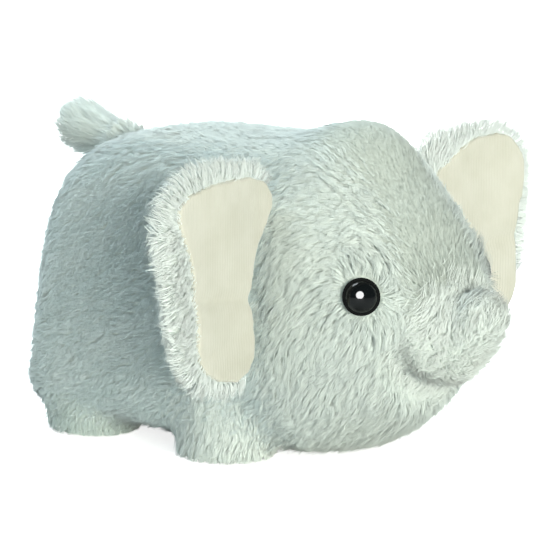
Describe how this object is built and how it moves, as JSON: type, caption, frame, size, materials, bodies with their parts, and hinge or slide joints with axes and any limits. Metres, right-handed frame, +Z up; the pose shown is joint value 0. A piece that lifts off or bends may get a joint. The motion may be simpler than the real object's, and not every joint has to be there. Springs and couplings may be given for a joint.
{
  "type": "stuffed elephant",
  "caption": "Loaf-shaped plush elephant that stands on stub legs, with wide lined ears, a short turned-up trunk, a stub tail and round button eyes.",
  "frame": {"origin": "on the surface the toy stands on, under the middle of its bounding box", "axes": "+Z up; the elephant faces -Y, so its right side is -X; it is the same on both sides of X = 0"},
  "size_m": [0.3136, 0.3134, 0.1825],
  "materials": {
    "plush": "long-pile plush, pale grey-green, about 12 mm pile",
    "brow_plush": "the same plush brushed smooth over the brow",
    "sole_plush": "the same plush pressed flat under the foot",
    "ear_lining": "cream short-pile velour with a fine rib",
    "fibre_stuffing": "white polyester fibre filling",
    "eye_button": "polished black",
    "eye_backing": "black felt",
    "washer_plastic": "moulded, white"
  },
  "bodies": {
    "body": {"body_stuffing": "fibre_stuffing", "head_stuffing": "fibre_stuffing", "back_strip": "plush", "belly_panel": "plush", "body_side_left": "plush", "body_side_right": "plush", "brow_strip": "brow_plush", "chin_panel": "plush", "eye_left": "eye_button", "eye_left_backing": "eye_backing", "eye_left_washer": "washer_plastic", "eye_right": "eye_button", "eye_right_backing": "eye_backing", "eye_right_washer": "washer_plastic", "head_side_left": "plush", "head_side_right": "plush", "leg_front_left_sleeve": "plush", "leg_front_left_sole": "sole_plush", "leg_front_left_stuffing": "fibre_stuffing", "leg_front_right_sleeve": "plush", "leg_front_right_sole": "sole_plush", "leg_front_right_stuffing": "fibre_stuffing", "leg_rear_left_sleeve": "plush", "leg_rear_left_sole": "sole_plush", "leg_rear_left_stuffing": "fibre_stuffing", "leg_rear_right_sleeve": "plush", "leg_rear_right_sole": "sole_plush", "leg_rear_right_stuffing": "fibre_stuffing", "rump_panel": "plush"},
    "trunk": {"trunk_side_left": "plush", "trunk_side_right": "plush", "trunk_stuffing": "fibre_stuffing"},
    "tail": {"tail_side_left": "plush", "tail_side_right": "plush", "tail_stuffing": "fibre_stuffing"},
    "ear_right": {"ear_right_back": "plush", "ear_right_lining": "ear_lining"},
    "ear_left": {"ear_left_back": "plush", "ear_left_lining": "ear_lining"}
  },
  "joints": [
    {"name": "ear_right_fold", "type": "hinge", "parent": "body", "child": "ear_right", "pos_m": [-0.0805, -0.0518, 0.1], "axis": [0, 0, 1], "range_deg": [-50, 50], "stiffness_Nm_per_rad": 0.02},
    {"name": "ear_left_fold", "type": "hinge", "parent": "body", "child": "ear_left", "pos_m": [0.0805, -0.0518, 0.1], "axis": [0, 0, -1], "range_deg": [-50, 50], "stiffness_Nm_per_rad": 0.02},
    {"name": "trunk_bend", "type": "hinge", "parent": "body", "child": "trunk", "pos_m": [0, -0.1118, 0.073], "axis": [1, 0, 0], "range_deg": [-2, 10], "stiffness_Nm_per_rad": 0.2},
    {"name": "tail_bend", "type": "hinge", "parent": "body", "child": "tail", "pos_m": [0, 0.1042, 0.156], "axis": [1, 0, 0], "range_deg": [-10, 30], "stiffness_Nm_per_rad": 0.1}
  ]
}
